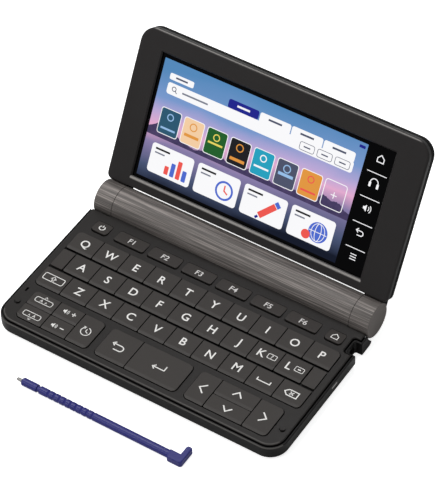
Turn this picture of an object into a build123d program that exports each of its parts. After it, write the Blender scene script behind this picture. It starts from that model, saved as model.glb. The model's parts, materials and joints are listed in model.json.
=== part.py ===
from build123d import *
from collections import namedtuple
from math import cos, radians, sin
import os

# ---------------------------------------------------------------------------------------------
# Electronic dictionary: keyboard base, hinge barrel with the batteries, display lid, stylus.
# Millimetres. X runs along the hinge, +Y is the back, +Z is up, and z = 0 is the table.
# Heights above the table are called z, distances from the base's front edge are called y.
# ---------------------------------------------------------------------------------------------

# Driving dimensions of the whole object
width = 148.0               # along the hinge, base and lid alike
closed_depth = 93.0         # front edge to the back of the barrel
foot_height = 0.7           # rubber feet below the case
case_height = 8.1           # underside of the case to the top of the deck
barrel_radius = 8.4         # barrel and lid thickness are one diameter and one radius
hinge_rise = 0.4            # hinge axis above the deck
lid_angle = 119.5           # how far the lid stands open at rest, from closed
wall = 1.6                  # shell of the lid

# Hinge barrel
seam_x = 62.7               # from the middle to the seam between barrel and knuckle
seam_gap = 0.25
knuckle_end_x = 72.6
bay_radius = 7.45           # battery bay inside the barrel
bay_half = 53.5             # half the bay's length
shaft_radius = 2.5
shaft_play = 0.05
door_half = 52.0            # half the battery door's length
door_angle = 45.0           # door reaches this far each side of straight down
turning_gap = 0.8           # base around the turning knuckles
seat_gap = 0.05             # barrel and knuckles in the shells that hold them

# Base
corner_radius = 9.0
floor = 1.6
bottom_rounding = 2.0
rim_drop = 0.9              # the lower shell's rim stands this far below the deck
rim_width = 0.8
rim_rounding = 0.5
deck_inset = 1.4            # edge of the deck; the dark groove is between it and the rim
deck_skirt = 2.0            # how far the deck's edge reaches down
deck_thickness = 1.2
deck_rounding = 0.6
base_wall = 2.2             # side walls of the base

# Keys
key_pitch = 13.85
row_pitch = 12.4
first_row_y = 55.2          # middle of the top letter row
key_width = 13.35
key_depth = 10.9
key_rise = 0.55             # key tops above the deck
key_gap = 0.4               # between a key and its opening
menu_gap = 0.2              # the same for the keys of the menu row, at the sides and the back ...
menu_front_gap = 0.6        # ... and at the front
row_gap_depth = 0.6         # the deck lies this much lower between two rows
key_travel = 0.5
bevel_depth = 1.3           # sloping front lip of a letter key
bevel_drop = 0.35
flange_thickness = 0.45
flange_play = 0.1
flange_reach = 0.7          # the flange that keeps a key under the deck
menu_rise = 0.7             # front of the menu keys above the deck
menu_y = 67.6
menu_depth = 6.5
menu_pitch = 18.15
menu_width = 15.8
end_key_x = 61.6            # power and home, at the two ends of the menu row
end_key_width = 8.2
cluster_front = 4.9
cluster_middle = 13.15
cluster_back = 21.3
cluster_gap = 0.5

# Lid, in distances up from the hinge axis along the lid, and behind the axis through it
face_depth = 0.45           # front face
bezel_back = 3.4
cover_front = 3.7
bezel_thickness = 1.3
slot_top = 9.4              # the lid's lower edge, above the slot along the barrel
lid_corner = 8.0
lid_low_corner = 3.0
lid_foot = 8.6              # lower edge of the lid beside the knuckles
cover_rounding = 2.5
window_left = -61.6
window_right = 58.9
window_low = 14.6
window_high = 75.0
window_chamfer = 0.6
glass_thickness = 1.0
module_thickness = 2.3

# Stylus, its silo and the notch for its head
stylus_radius = 1.85
stylus_y = -19.4
stylus_tip_x = -47.1
stylus_length = 85.6        # nib to the middle of the arm
head_start = 79.0
arm_half_width = 1.45
arm_reach = 7.0
head_bulge = 0.9
silo_y = 67.2
silo_z = 3.75
silo_bore = 2.05
silo_outer = 2.75
notch_left = 69.8           # the notch for the head, at the right of the hinge, and its corners
notch_front = 63.7
notch_back = 70.6
notch_corner = 1.0
corner_right = 73.3         # right face of the base behind the notch

# Worked out
deck_z = foot_height + case_height
plate_z = deck_z - deck_thickness
rim_z = deck_z - rim_drop
ledge_z = deck_z - deck_skirt
hinge_z = deck_z + hinge_rise
lid_length = closed_depth - barrel_radius
lean = radians(lid_angle)
back_reach = (lid_length - (lid_length - cover_rounding) * cos(lean)
              + (barrel_radius - cover_rounding) * sin(lean) + cover_rounding)
front_reach = stylus_y - stylus_radius - head_bulge
front_y = -(back_reach + front_reach) / 2    # puts the origin under the middle of the object
hinge_y = front_y + lid_length
case_depth = lid_length - 6.0
cavity_back = 74.6

lid_plane = Plane(origin=(0, hinge_y, hinge_z), x_dir=(1, 0, 0), z_dir=(0, -sin(lean), -cos(lean)))
lid_forward = Axis((0, hinge_y, hinge_z), lid_plane.z_dir)

os.makedirs("parts", exist_ok=True)

# A patch of the deck: its edges, and its corner radii front left, front right, back left, back right
Area = namedtuple("Area", "left right front back radii")
sharp = 0.4
small = 1.0
round_corner = 2.2


def box_between(low, high, mode=Mode.ADD):
    """A box from one corner to the other."""
    middle = tuple((a + b) / 2 for a, b in zip(low, high))
    size = [b - a for a, b in zip(low, high)]
    with Locations(middle):
        Box(*size, mode=mode)


def rod_along_x(x_low, x_high, y, z, radius, mode=Mode.ADD):
    """A round bar along X."""
    with Locations(Location(((x_low + x_high) / 2, y, z), (0, 90, 0))):
        Cylinder(radius, x_high - x_low, mode=mode)


def case_outline(height, inset=0.0, back=case_depth):
    """The base in plan at a height: straight sides, round front corners, and the notch for the stylus."""
    with BuildSketch(Plane.XY.offset(height)) as outline:
        with Locations((0, front_y + (inset + back) / 2)):
            Rectangle(width - 2 * inset, back - inset)
        fillet(outline.vertices().group_by(Axis.Y)[0], corner_radius - inset)
        left, right = notch_left - inset, corner_right - inset
        low, high, end = front_y + notch_front - inset, front_y + notch_back + inset, front_y + back + 1
        with Locations(((left + width) / 2, (low + high) / 2)):
            Rectangle(width - left, high - low, mode=Mode.SUBTRACT)
        with Locations(((right + width) / 2, (low + end) / 2)):
            Rectangle(width - right, end - low, mode=Mode.SUBTRACT)
        for corner in ((left, low), (left, high)):
            fillet(outline.vertices().sort_by_distance((*corner, 0))[0], notch_corner + inset / 2)
    return outline.sketch


def area_outline(area, height, grow=0.0, reach_front=0.0, reach_back=0.0):
    """A rounded patch of the deck, grown all round, and reaching further to front and back."""
    low_y = front_y + area.front - grow - reach_front
    high_y = front_y + area.back + grow + reach_back
    left = area.left - grow
    right = area.right + grow
    with BuildSketch(Plane.XY.offset(height)) as outline:
        with Locations(((left + right) / 2, (low_y + high_y) / 2)):
            Rectangle(right - left, high_y - low_y)
        corners = [(left, low_y), (right, low_y), (left, high_y), (right, high_y)]
        for corner, radius in zip(corners, area.radii):
            fillet(outline.vertices().sort_by_distance((*corner, 0))[0], radius + grow)
    return outline.sketch


def cut_for_hinge():
    """Clear the barrel and the turning knuckles from a shell of the base."""
    seat = barrel_radius + seat_gap
    turning = barrel_radius + turning_gap
    rod_along_x(-seam_x, seam_x, hinge_y, hinge_z, seat, Mode.SUBTRACT)
    for side in (-1, 1):
        x_low, x_high = sorted((side * seam_x, side * width))
        rod_along_x(x_low, x_high, hinge_y, hinge_z, turning, Mode.SUBTRACT)


# ---- Keys: where they are ---------------------------------------------------------------------

def row_of_keys(row, names, corners):
    """Keys of one letter row side by side; the corners are front left, front right, back left, back right."""
    middle_y = first_row_y - row * row_pitch
    front, back = middle_y - key_depth / 2, middle_y + key_depth / 2
    half = len(names) * key_pitch / 2 - (key_pitch - key_width) / 2
    opening = Area(-half, half, front, back, corners)
    keys = {}
    for column, name in enumerate(names):
        middle_x = (column - (len(names) - 1) / 2) * key_pitch
        is_first, is_last = column == 0, column == len(names) - 1
        radii = [corners[0] if is_first else sharp, corners[1] if is_last else sharp,
                 corners[2] if is_first else sharp, corners[3] if is_last else sharp]
        keys[name] = Area(middle_x - key_width / 2, middle_x + key_width / 2, front, back, radii)
    return opening, keys


def lone_key(middle_x, key_span, front_radius):
    """A key of the menu row, which has an opening of its own."""
    front, back = menu_y - menu_depth / 2, menu_y + menu_depth / 2
    return Area(middle_x - key_span / 2, middle_x + key_span / 2, front, back,
                [front_radius, front_radius, small, small])


half_gap = cluster_gap / 2
low_row = (cluster_front, cluster_middle - half_gap)
high_row = (cluster_middle + half_gap, cluster_back)
full_row = (cluster_front, cluster_back)
font_x = (-65.0, -51.5 - half_gap)
volume_x = (-51.5 + half_gap, -38.5 - half_gap)
history_x = (-38.5 + half_gap, -27.4)
back_x = (-23.3, -7.4 - half_gap)
enter_x = (-7.4 + half_gap, 18.9)
left_x = (23.1, 33.4 - half_gap)
middle_x = (33.4 + half_gap, 53.0 - half_gap)
right_x = (53.0 + half_gap, 65.0)
all_round = [round_corner] * 4

letter_rows = [
    row_of_keys(0, list("qwertyuiop"), [sharp, sharp, round_corner, round_corner]),
    row_of_keys(1, list("asdfghjkl"), [sharp] * 4),
    row_of_keys(2, ["shift", *"zxcvbnm", "space", "delete"], [round_corner, round_corner, sharp, sharp]),
]
menu_keys = {"power": lone_key(-end_key_x, end_key_width, 1.6), "home": lone_key(end_key_x, end_key_width, 1.6)}
for number in range(6):
    menu_keys[f"menu_{number + 1}"] = lone_key((number - 2.5) * menu_pitch, menu_width, small)
cluster_keys = {
    "font_up": Area(*font_x, *high_row, [sharp, sharp, round_corner, sharp]),
    "font_down": Area(*font_x, *low_row, [round_corner, sharp, sharp, sharp]),
    "volume_up": Area(*volume_x, *high_row, [sharp] * 4),
    "volume_down": Area(*volume_x, *low_row, [sharp] * 4),
    "history": Area(*history_x, *full_row, [sharp, round_corner, sharp, round_corner]),
    "back": Area(*back_x, *full_row, [round_corner, sharp, round_corner, sharp]),
    "enter": Area(*enter_x, *full_row, [sharp, round_corner, sharp, round_corner]),
    "left": Area(*left_x, *full_row, [round_corner, sharp, round_corner, sharp]),
    "up": Area(*middle_x, *high_row, [sharp] * 4),
    "down": Area(*middle_x, *low_row, [sharp] * 4),
    "right": Area(*right_x, *full_row, [sharp, round_corner, sharp, round_corner]),
}
openings = [opening for opening, keys in letter_rows]
openings += [Area(font_x[0], history_x[1], *full_row, all_round), Area(back_x[0], enter_x[1], *full_row, all_round),
             Area(left_x[0], right_x[1], *full_row, all_round)]


# ---- Keys: the pieces -------------------------------------------------------------------------

def make_key(name, area, heights, reach_front=flange_reach, reach_back=flange_reach):
    """A cap with a flange below the deck; heights are the cap's top along y, from front to back."""
    flange_bottom = plate_z - flange_play - flange_thickness
    with BuildPart() as key:
        extrude(area_outline(area, flange_bottom), amount=deck_z + 1 - flange_bottom)
        with BuildSketch(Plane.YZ):
            with BuildLine():
                Polyline(*heights, (heights[-1][0], deck_z + 5), (heights[0][0], deck_z + 5), close=True)
            make_face()
        extrude(amount=width, both=True, mode=Mode.SUBTRACT)
        flange = area_outline(area, flange_bottom, reach_front=reach_front, reach_back=reach_back)
        extrude(flange, amount=flange_thickness)
    key.part.label = f"key_{name}"
    export_step(key.part, f"parts/key_{name}.step")


def bevelled_top(area):
    """A flat top with a lip that slopes down at the front."""
    front, back = front_y + area.front, front_y + area.back
    top = deck_z + key_rise
    return [(front - 1, top - bevel_drop * (1 + 1 / bevel_depth)), (front + bevel_depth, top), (back + 1, top)]


def tilted_top(area):
    """A top that slopes down towards the barrel, where it comes out level with the deck."""
    front, back = front_y + area.front, front_y + area.back
    top = deck_z + menu_rise
    return [(front - 1, top), (front + 0.8, top), (back, deck_z), (back + 1, deck_z)]


for opening, keys in letter_rows:
    for name, area in keys.items():
        make_key(name, area, bevelled_top(area))
for name, area in cluster_keys.items():
    # Where two keys meet inside a cluster, neither has a flange
    reach_front = flange_reach if area.front == cluster_front else 0.0
    reach_back = flange_reach if area.back == cluster_back else 0.0
    make_key(name, area, bevelled_top(area), reach_front, reach_back)
for name, area in menu_keys.items():
    make_key(name, area, tilted_top(area), reach_front=menu_front_gap + 0.3)


# ---- Base -------------------------------------------------------------------------------------

post_places = [(x, y) for x in (-60, 0, 60) for y in (12, 60)]
post_height = 0.7
speaker_slots = 5
silo_end = notch_left - head_start - 1


def in_front_of_notch(edge):
    """Is an edge of the lower shell's floor on the outside, and not in the notch?"""
    middle = edge @ 0.5
    return middle.X < notch_left - 0.1 or middle.Y < front_y + notch_front - 0.1


with BuildPart() as bottom_case:
    extrude(case_outline(foot_height), amount=rim_z - foot_height)
    outer_edges = bottom_case.faces().sort_by(Axis.Z)[0].edges().filter_by(in_front_of_notch)
    fillet(outer_edges, bottom_rounding)
    fillet(bottom_case.faces().sort_by(Axis.Z)[-1].edges(), rim_rounding)
    # The hollow, and the ledge that the deck's edge stands on
    extrude(case_outline(foot_height + floor, base_wall, cavity_back), amount=case_height, mode=Mode.SUBTRACT)
    extrude(case_outline(ledge_z, rim_width), amount=case_height, mode=Mode.SUBTRACT)
    with Locations(*[(x, front_y + y, foot_height + floor) for x, y in post_places]):
        Cylinder(2.0, post_height, align=(Align.CENTER, Align.CENTER, Align.MIN))
    box_between((notch_left - base_wall, front_y + notch_back + 1, foot_height + floor),
                (corner_right - base_wall, front_y + cavity_back + 1, ledge_z))
    cut_for_hinge()
    # The stylus silo: a blind tube along the hinge
    rod_along_x(silo_end - 1.5, notch_left - 0.5, front_y + silo_y, silo_z, silo_outer)
    rod_along_x(silo_end, notch_left + 1, front_y + silo_y, silo_z, silo_bore, Mode.SUBTRACT)
    # Speaker slots in the floor
    with Locations(*[(-45 + 3 * number, front_y + 40, foot_height) for number in range(speaker_slots)]):
        Box(1.2, 12, 4 * floor, mode=Mode.SUBTRACT)
bottom_case.part.label = "bottom_case"
export_step(bottom_case.part, "parts/bottom_case.step")

blank_pads = [Area(-69.1, -62.75, 37.35, 48.25, [sharp] * 4), Area(62.75, 69.1, 37.35, 48.25, [sharp] * 4)]
pad_groove = 0.35
strip_half = 5 * key_pitch - (key_pitch - key_width) / 2 + key_gap
rest_x, rest_y, rest_radius, rest_height, rest_offset = 69.0, 12.5, 1.2, 0.6, 0.45
microphone_x, microphone_y = -69.5, 20.1

with BuildPart() as keyboard_deck:
    extrude(case_outline(ledge_z + seat_gap, deck_inset), amount=deck_skirt - seat_gap)
    fillet(keyboard_deck.faces().sort_by(Axis.Z)[-1].edges(), deck_rounding)
    extrude(case_outline(ledge_z + seat_gap, base_wall), amount=plate_z - ledge_z - seat_gap, mode=Mode.SUBTRACT)
    # Openings for the keys, and the sunk strips between the rows of letters
    for opening in openings:
        extrude(area_outline(opening, deck_z + 1, grow=key_gap), amount=-4, mode=Mode.SUBTRACT)
    for area in menu_keys.values():
        extrude(area_outline(area, deck_z + 1, grow=menu_gap, reach_front=menu_front_gap - menu_gap), amount=-4,
                mode=Mode.SUBTRACT)
    for row in (0, 1):
        strip_back = front_y + first_row_y - row * row_pitch - key_depth / 2
        box_between((-strip_half, strip_back - row_pitch + key_depth, deck_z - row_gap_depth),
                    (strip_half, strip_back, deck_z + 1), Mode.SUBTRACT)
    for pad in blank_pads:
        extrude(area_outline(pad, deck_z + 1, grow=pad_groove), amount=-row_gap_depth - 1, mode=Mode.SUBTRACT)
        extrude(area_outline(pad, deck_z - row_gap_depth - 0.1), amount=key_rise + row_gap_depth)
    # A rest for the lid at each side, standing in a small hollow that opens to the front
    with Locations(*[(x, front_y + rest_y - rest_offset, deck_z) for x in (-rest_x, rest_x)]):
        Cylinder(rest_radius + 0.2, 1, mode=Mode.SUBTRACT)
    with Locations(*[(x, front_y + rest_y, deck_z - 0.6) for x in (-rest_x, rest_x)]):
        Cylinder(rest_radius, rest_height + 0.6, align=(Align.CENTER, Align.CENTER, Align.MIN))
    with Locations((microphone_x, front_y + microphone_y, deck_z)):
        Box(1.0, 2.4, 1.8, mode=Mode.SUBTRACT)
    cut_for_hinge()
keyboard_deck.part.label = "keyboard_deck"
export_step(keyboard_deck.part, "parts/keyboard_deck.step")

board_z = foot_height + floor + post_height
board_thickness = 1.0
sheet_z = board_z + board_thickness
sheet_thickness = 0.8
dome_top = plate_z - flange_play - flange_thickness - key_travel - 0.1
all_keys = [area for opening, keys in letter_rows for area in keys.values()]
all_keys += list(cluster_keys.values())

with BuildPart() as main_board:
    box_between((-66, front_y + 4, board_z), (66, front_y + 62, sheet_z))
    # Chips and the speaker under the board
    for chip_x, chip_y, chip_size in ((10, 30, 12), (30, 32, 9), (28, 48, 7), (-47, 33, 16)):
        box_between((chip_x, front_y + chip_y, board_z - 0.6),
                    (chip_x + chip_size, front_y + chip_y + chip_size, board_z))
main_board.part.label = "main_board"

with BuildPart() as dome_sheet:
    # A flat rubber sheet with a dome under each key
    box_between((-65.5, front_y + 4.5, sheet_z), (65.5, front_y + 61.5, sheet_z + sheet_thickness))
    with Locations(*[((a.left + a.right) / 2, front_y + (a.front + a.back) / 2, sheet_z) for a in all_keys]):
        Cylinder(2.4, dome_top - sheet_z, align=(Align.CENTER, Align.CENTER, Align.MIN))
board_and_sheet = Compound(label="main_board", children=[main_board.part, dome_sheet.part])
export_step(board_and_sheet, "parts/main_board.step")

# ---- Hinge barrel and its batteries -------------------------------------------------------------

cell_radius = 7.1
cell_length = 49.5
cap_radius, cap_length = 2.75, 1.0


def door_section(inner, outer, angle=door_angle):
    """The battery door across the barrel: part of a ring, on both sides of straight down."""
    across = 3 * outer * sin(radians(angle))
    down = 3 * outer * cos(radians(angle))
    with BuildSketch(Plane.YZ) as section:
        with Locations((hinge_y, hinge_z)):
            Circle(outer)
            Circle(inner, mode=Mode.SUBTRACT)
            Polygon((0, 0), (-across, -down), (across, -down), align=None, mode=Mode.INTERSECT)
    return section.sketch


with BuildPart() as hinge_barrel:
    rod_along_x(-seam_x, seam_x, hinge_y, hinge_z, barrel_radius)
    rod_along_x(-bay_half, bay_half, hinge_y, hinge_z, bay_radius, Mode.SUBTRACT)
    for side in (-1, 1):
        x_low, x_high = sorted((side * (bay_half + 1.5), side * (seam_x + 1)))
        rod_along_x(x_low, x_high, hinge_y, hinge_z, shaft_radius + shaft_play, Mode.SUBTRACT)
    extrude(door_section(bay_radius - 1, barrel_radius + 1, door_angle + 0.7), amount=door_half + 0.1, both=True,
            mode=Mode.SUBTRACT)
hinge_barrel.part.label = "hinge_barrel"
export_step(hinge_barrel.part, "parts/hinge_barrel.step")

with BuildPart() as battery_door:
    extrude(door_section(bay_radius, barrel_radius), amount=door_half, both=True)
battery_door.part.label = "battery_door"
export_step(battery_door.part, "parts/battery_door.step")

with BuildPart() as battery_cells:
    for start in (-cell_length - 0.1, 0.1):
        can_end = start + cell_length - cap_length
        rod_along_x(start, can_end, hinge_y, hinge_z, cell_radius)
        rod_along_x(can_end, can_end + cap_length, hinge_y, hinge_z, cap_radius)
battery_cells.part.label = "battery_cells"
export_step(battery_cells.part, "parts/battery_cells.step")

shaft_length = 6.0
lug_low_x, lug_high_x = 65.0, 71.0
lug_front, lug_back, lug_high = 4.3, 6.6, 16.0
knuckle_chamfer = 0.4

with BuildPart() as hinge_knuckles:
    for side in (-1, 1):
        x_low, x_high = sorted((side * (seam_x + seam_gap), side * knuckle_end_x))
        rod_along_x(x_low, x_high, hinge_y, hinge_z, barrel_radius)
    chamfer(hinge_knuckles.faces().sort_by(Axis.X)[0].edges(), knuckle_chamfer)
    chamfer(hinge_knuckles.faces().sort_by(Axis.X)[-1].edges(), knuckle_chamfer)
    for side in (-1, 1):
        x_low, x_high = sorted((side * (seam_x - shaft_length), side * (seam_x + 1)))
        rod_along_x(x_low, x_high, hinge_y, hinge_z, shaft_radius)
    with BuildSketch(lid_plane.offset(-lug_back)):
        lug_x = (lug_low_x + lug_high_x) / 2
        with Locations((-lug_x, lug_high / 2), (lug_x, lug_high / 2)):
            Rectangle(lug_high_x - lug_low_x, lug_high)
    extrude(amount=lug_back - lug_front)
hinge_knuckles.part.label = "hinge_knuckles"
export_step(hinge_knuckles.part, "parts/hinge_knuckles.step")

# ---- Lid ----------------------------------------------------------------------------------------

tongue_low = 3.0            # the cover's tongues run down behind the knuckles


def lid_outline(depth):
    """The lid seen from the front, at a depth behind the hinge axis."""
    with BuildSketch(lid_plane.offset(-depth)) as outline:
        with Locations((0, (lid_foot + lid_length) / 2)):
            Rectangle(width, lid_length - lid_foot)
        fillet(outline.vertices().group_by(Axis.Y)[-1], lid_corner)
        fillet(outline.vertices().group_by(Axis.Y)[0], lid_low_corner)
    return outline.sketch


def lid_rectangle(depth, left, right, low, high, radius=0.0):
    """A rectangle on the lid, at a depth behind the hinge axis."""
    with BuildSketch(lid_plane.offset(-depth)) as outline:
        with Locations(((left + right) / 2, (low + high) / 2)):
            Rectangle(right - left, high - low)
        if radius:
            fillet(outline.vertices(), radius)
    return outline.sketch


def lid_cavity(depth, inset, radius):
    """The hollow of a lid shell, square to its lower edge."""
    half = width / 2 - inset
    return lid_rectangle(depth, -half, half, slot_top + inset, lid_length - inset, radius)


def cut_slot_and_knuckles():
    """Open the slot above the barrel and clear the knuckles from a lid shell."""
    slot_end = seam_x + seam_gap
    extrude(lid_rectangle(2 * barrel_radius, -slot_end, slot_end, -slot_top, slot_top),
            amount=4 * barrel_radius, mode=Mode.SUBTRACT)
    rod_along_x(-width, width, hinge_y, hinge_z, barrel_radius + seat_gap, Mode.SUBTRACT)


bezel_rim = 0.85
bezel_rounding = 1.0
cover_lip_inset = 0.9
lip_height = 0.8

with BuildPart() as display_bezel:
    extrude(lid_outline(bezel_back), amount=bezel_back - face_depth)
    fillet(display_bezel.faces().sort_by(lid_forward)[-1].edges(), bezel_rounding)
    cut_slot_and_knuckles()
    extrude(lid_cavity(bezel_back, bezel_rim, 7.0), amount=bezel_back - face_depth - bezel_thickness,
            mode=Mode.SUBTRACT)
    extrude(lid_rectangle(bezel_back, window_left, window_right, window_low, window_high), amount=bezel_back,
            mode=Mode.SUBTRACT)
    front_face = display_bezel.faces().sort_by(lid_forward)[-1]
    chamfer(front_face.inner_wires()[0].edges(), window_chamfer)
display_bezel.part.label = "display_bezel"
export_step(display_bezel.part, "parts/display_bezel.step")

with BuildPart() as lid_cover:
    extrude(lid_outline(barrel_radius), amount=barrel_radius - cover_front)
    fillet(lid_cover.faces().sort_by(lid_forward)[0].edges(), cover_rounding)
    for side in (-1, 1):
        x_low, x_high = sorted((side * (seam_x + seam_gap), side * (knuckle_end_x - 1)))
        extrude(lid_rectangle(barrel_radius, x_low, x_high, tongue_low, 2 * slot_top),
                amount=barrel_radius - cover_front)
    cut_slot_and_knuckles()
    # The lip behind the groove, then the hollow and the pockets for the knuckles' lugs
    extrude(lid_cavity(cover_front, cover_lip_inset, 7.0), amount=lip_height)
    extrude(lid_cavity(barrel_radius - wall, cover_lip_inset + 0.8, 6.0), amount=barrel_radius, mode=Mode.SUBTRACT)
    for side in (-1, 1):
        x_low, x_high = sorted((side * (lug_low_x - 0.1), side * (lug_high_x + 0.1)))
        extrude(lid_rectangle(lug_back + 0.1, x_low, x_high, 0, 2 * slot_top), amount=lug_back - lug_front + 0.2,
                mode=Mode.SUBTRACT)
lid_cover.part.label = "lid_cover"
export_step(lid_cover.part, "parts/lid_cover.step")

glass_back = face_depth + bezel_thickness + glass_thickness
with BuildPart() as display_panel:
    extrude(lid_rectangle(glass_back, window_left - 1.2, window_right + 1.2, window_low - 1.2, window_high + 1.2),
            amount=glass_thickness)
    extrude(lid_rectangle(glass_back + module_thickness, window_left, window_right, window_low, window_high),
            amount=module_thickness)
display_panel.part.label = "display_panel"
export_step(display_panel.part, "parts/display_panel.step")

# ---- Feet and stylus ------------------------------------------------------------------------------

front_foot_x, front_foot_y, front_foot_radius = 60.0, 9.0, 4.0
rear_foot_x = 57.5
rear_foot_size = (8.0, 7.0, 3.0)

with BuildPart() as rubber_feet:
    with Locations(*[(x, front_y + front_foot_y, 0) for x in (-front_foot_x, front_foot_x)]):
        Cylinder(front_foot_radius, foot_height, align=(Align.CENTER, Align.CENTER, Align.MIN))
    with Locations(*[(x, hinge_y, 0) for x in (-rear_foot_x, rear_foot_x)]):
        Box(*rear_foot_size, align=(Align.CENTER, Align.CENTER, Align.MIN))
    rod_along_x(-seam_x, seam_x, hinge_y, hinge_z, barrel_radius, Mode.SUBTRACT)
rubber_feet.part.label = "rubber_feet"
export_step(rubber_feet.part, "parts/rubber_feet.step")

nib_length = 2.8
nib_radius = 0.75
shoulder = 0.7
ring_at, ring_width, ring_depth = 11.0, 1.6, 0.5
first_rib, rib_pitch, rib_width, rib_count, rib_depth = 16.5, 2.9, 1.2, 9, 0.25
head_rounding = 0.7
stylus_plane = Plane(origin=(stylus_tip_x, front_y + stylus_y, stylus_radius))

# The head: a flat bar that widens to the front and turns a corner to the back
with BuildPart() as stylus_head:
    with BuildSketch(stylus_plane.offset(-stylus_radius)) as head:
        with BuildLine():
            bulge = -stylus_radius - head_bulge
            arm_left, arm_right = stylus_length - arm_half_width, stylus_length + arm_half_width
            side = stylus_radius - 0.1
            Polyline((head_start, side), (head_start, 0.5 - stylus_radius), (head_start + 1, bulge),
                     (arm_right, bulge), (arm_right, arm_reach), (arm_left, arm_reach), (arm_left, side), close=True)
        make_face()
        fillet(head.vertices().group_by(Axis.Y)[-1], 1.1)
        fillet(head.vertices().group_by(Axis.Y)[0].sort_by(Axis.X)[-1], 1.3)
    extrude(amount=2 * stylus_radius)
    fillet(stylus_head.faces().sort_by(Axis.Z)[-1].edges(), head_rounding)
    fillet(stylus_head.faces().sort_by(Axis.Z)[0].edges(), head_rounding)

with BuildPart() as stylus:
    with BuildSketch(stylus_plane):
        with BuildLine():
            points = [(0, 0), (0, nib_radius / 2), (0.5, nib_radius), (nib_length, nib_radius),
                      (nib_length, stylus_radius - shoulder), (nib_length + shoulder, stylus_radius),
                      (ring_at, stylus_radius), (ring_at, stylus_radius - ring_depth),
                      (ring_at + ring_width, stylus_radius - ring_depth), (ring_at + ring_width, stylus_radius)]
            for rib in range(rib_count):
                start = first_rib + rib * rib_pitch
                points += [(start, stylus_radius), (start + rib_width / 2, stylus_radius - rib_depth),
                           (start + rib_width, stylus_radius)]
            points += [(stylus_length, stylus_radius), (stylus_length, 0)]
            Polyline(*points, close=True)
        make_face()
    revolve(axis=Axis(stylus_plane.origin, (1, 0, 0)))
    add(stylus_head.part)
stylus.part.label = "stylus"
export_step(stylus.part, "parts/stylus.step")

print("origin to front edge", round(front_y, 2), "hinge axis at", round(hinge_y, 2), round(hinge_z, 2))
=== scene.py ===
# %% [markdown]
# # A pocket electronic dictionary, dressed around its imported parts
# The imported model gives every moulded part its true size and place. This lesson adds what a
# press, a paint line and a display add to them: textures in the plastic, brushed metal on the
# hinge barrel, printed key legends, a lit screen and the screws underneath. Lengths are worked
# out in millimetres and turned into metres at the very end, when a mesh is made.

# %% Load the frame
import json

import bmesh
import bpy
import numpy as np
from mathutils import Matrix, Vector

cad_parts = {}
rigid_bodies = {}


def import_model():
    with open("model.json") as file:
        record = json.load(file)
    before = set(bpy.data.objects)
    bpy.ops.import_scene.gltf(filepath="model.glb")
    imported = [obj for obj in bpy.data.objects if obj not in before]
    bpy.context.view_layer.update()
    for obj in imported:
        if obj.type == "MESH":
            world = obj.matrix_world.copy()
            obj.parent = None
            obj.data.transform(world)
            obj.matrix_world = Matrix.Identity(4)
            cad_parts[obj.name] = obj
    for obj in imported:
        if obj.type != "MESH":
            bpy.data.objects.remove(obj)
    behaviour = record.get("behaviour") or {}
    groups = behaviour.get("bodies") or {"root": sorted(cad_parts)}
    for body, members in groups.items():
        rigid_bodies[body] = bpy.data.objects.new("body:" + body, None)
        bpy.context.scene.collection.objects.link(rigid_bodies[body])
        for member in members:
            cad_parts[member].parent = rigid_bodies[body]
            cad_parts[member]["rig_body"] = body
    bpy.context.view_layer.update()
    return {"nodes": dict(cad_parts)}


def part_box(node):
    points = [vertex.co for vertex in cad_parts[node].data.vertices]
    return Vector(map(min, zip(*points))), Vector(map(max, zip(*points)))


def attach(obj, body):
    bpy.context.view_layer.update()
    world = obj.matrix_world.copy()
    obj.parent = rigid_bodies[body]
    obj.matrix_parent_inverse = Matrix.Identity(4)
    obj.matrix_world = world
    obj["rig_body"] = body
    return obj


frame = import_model()
nodes = frame["nodes"]
MM = 0.001

# %% [markdown]
# ## Where things are
# The base lies flat, so its pieces need only x, y and a height. The lid leans back, so its
# pieces are drawn on a flat sheet first, with x to the right, u up the lid and a lift off its
# face, and then carried over to the lean. The hinge axis is where that sheet starts.

# %% The deck's and the lid's directions
lid_lean = np.radians(119.5)
barrel_low, barrel_high = (np.array(corner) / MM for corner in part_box("hinge_barrel"))
hinge = (barrel_low + barrel_high) / 2
barrel_radius = (barrel_high[1] - barrel_low[1]) / 2
front_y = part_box("bottom_case")[0].y / MM
along = np.array([1.0, 0.0, 0.0])
lid_up = np.array([0.0, -np.cos(lid_lean), np.sin(lid_lean)])
lid_out = np.array([0.0, -np.sin(lid_lean), -np.cos(lid_lean)])
GLASS_DEPTH = 1.75          # the glass's front face, behind the hinge axis
print("hinge axis", hinge.round(2), "barrel radius", round(barrel_radius, 2), "front", round(front_y, 2))


def on_lid(points):
    """Carries (x, u, lift off the glass) to the lid: hinge + x along + u up + (lift - depth) out."""
    x, u, lift = points.T
    out = lift - GLASS_DEPTH
    return hinge + x[:, None] * along + u[:, None] * lid_up + out[:, None] * lid_out


# %% [markdown]
# ## Surfaces from numpy
# Every new piece is one or more grids of points. Neighbouring points become the corners of a
# face, and a grid can close on itself like a ring. A part here is a pair: its points, and its
# faces as lists of point numbers. Parts are joined, placed and made into one mesh together.

# %% Grids, joins and meshes
def grid_faces(rows, columns, ring_rows=False, ring_columns=False):
    """Faces of a grid of points: each joins (r, c), (r, c+1), (r+1, c+1) and (r+1, c)."""
    r, c = np.arange(rows - (not ring_rows)), np.arange(columns - (not ring_columns))
    r, c = np.meshgrid(r, c, indexing="ij")
    r2, c2 = (r + 1) % rows, (c + 1) % columns
    corners = [r * columns + c, r * columns + c2, r2 * columns + c2, r2 * columns + c]
    return np.stack(corners, axis=-1).reshape(-1, 4).tolist()


def joined(parts):
    """Several parts as one: the face numbers of each move up by the points before it."""
    points, faces, start = [], [], 0
    for part_points, part_faces in parts:
        points.append(part_points)
        faces += [[start + number for number in face] for face in part_faces]
        start += len(part_points)
    return np.concatenate(points), faces


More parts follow.
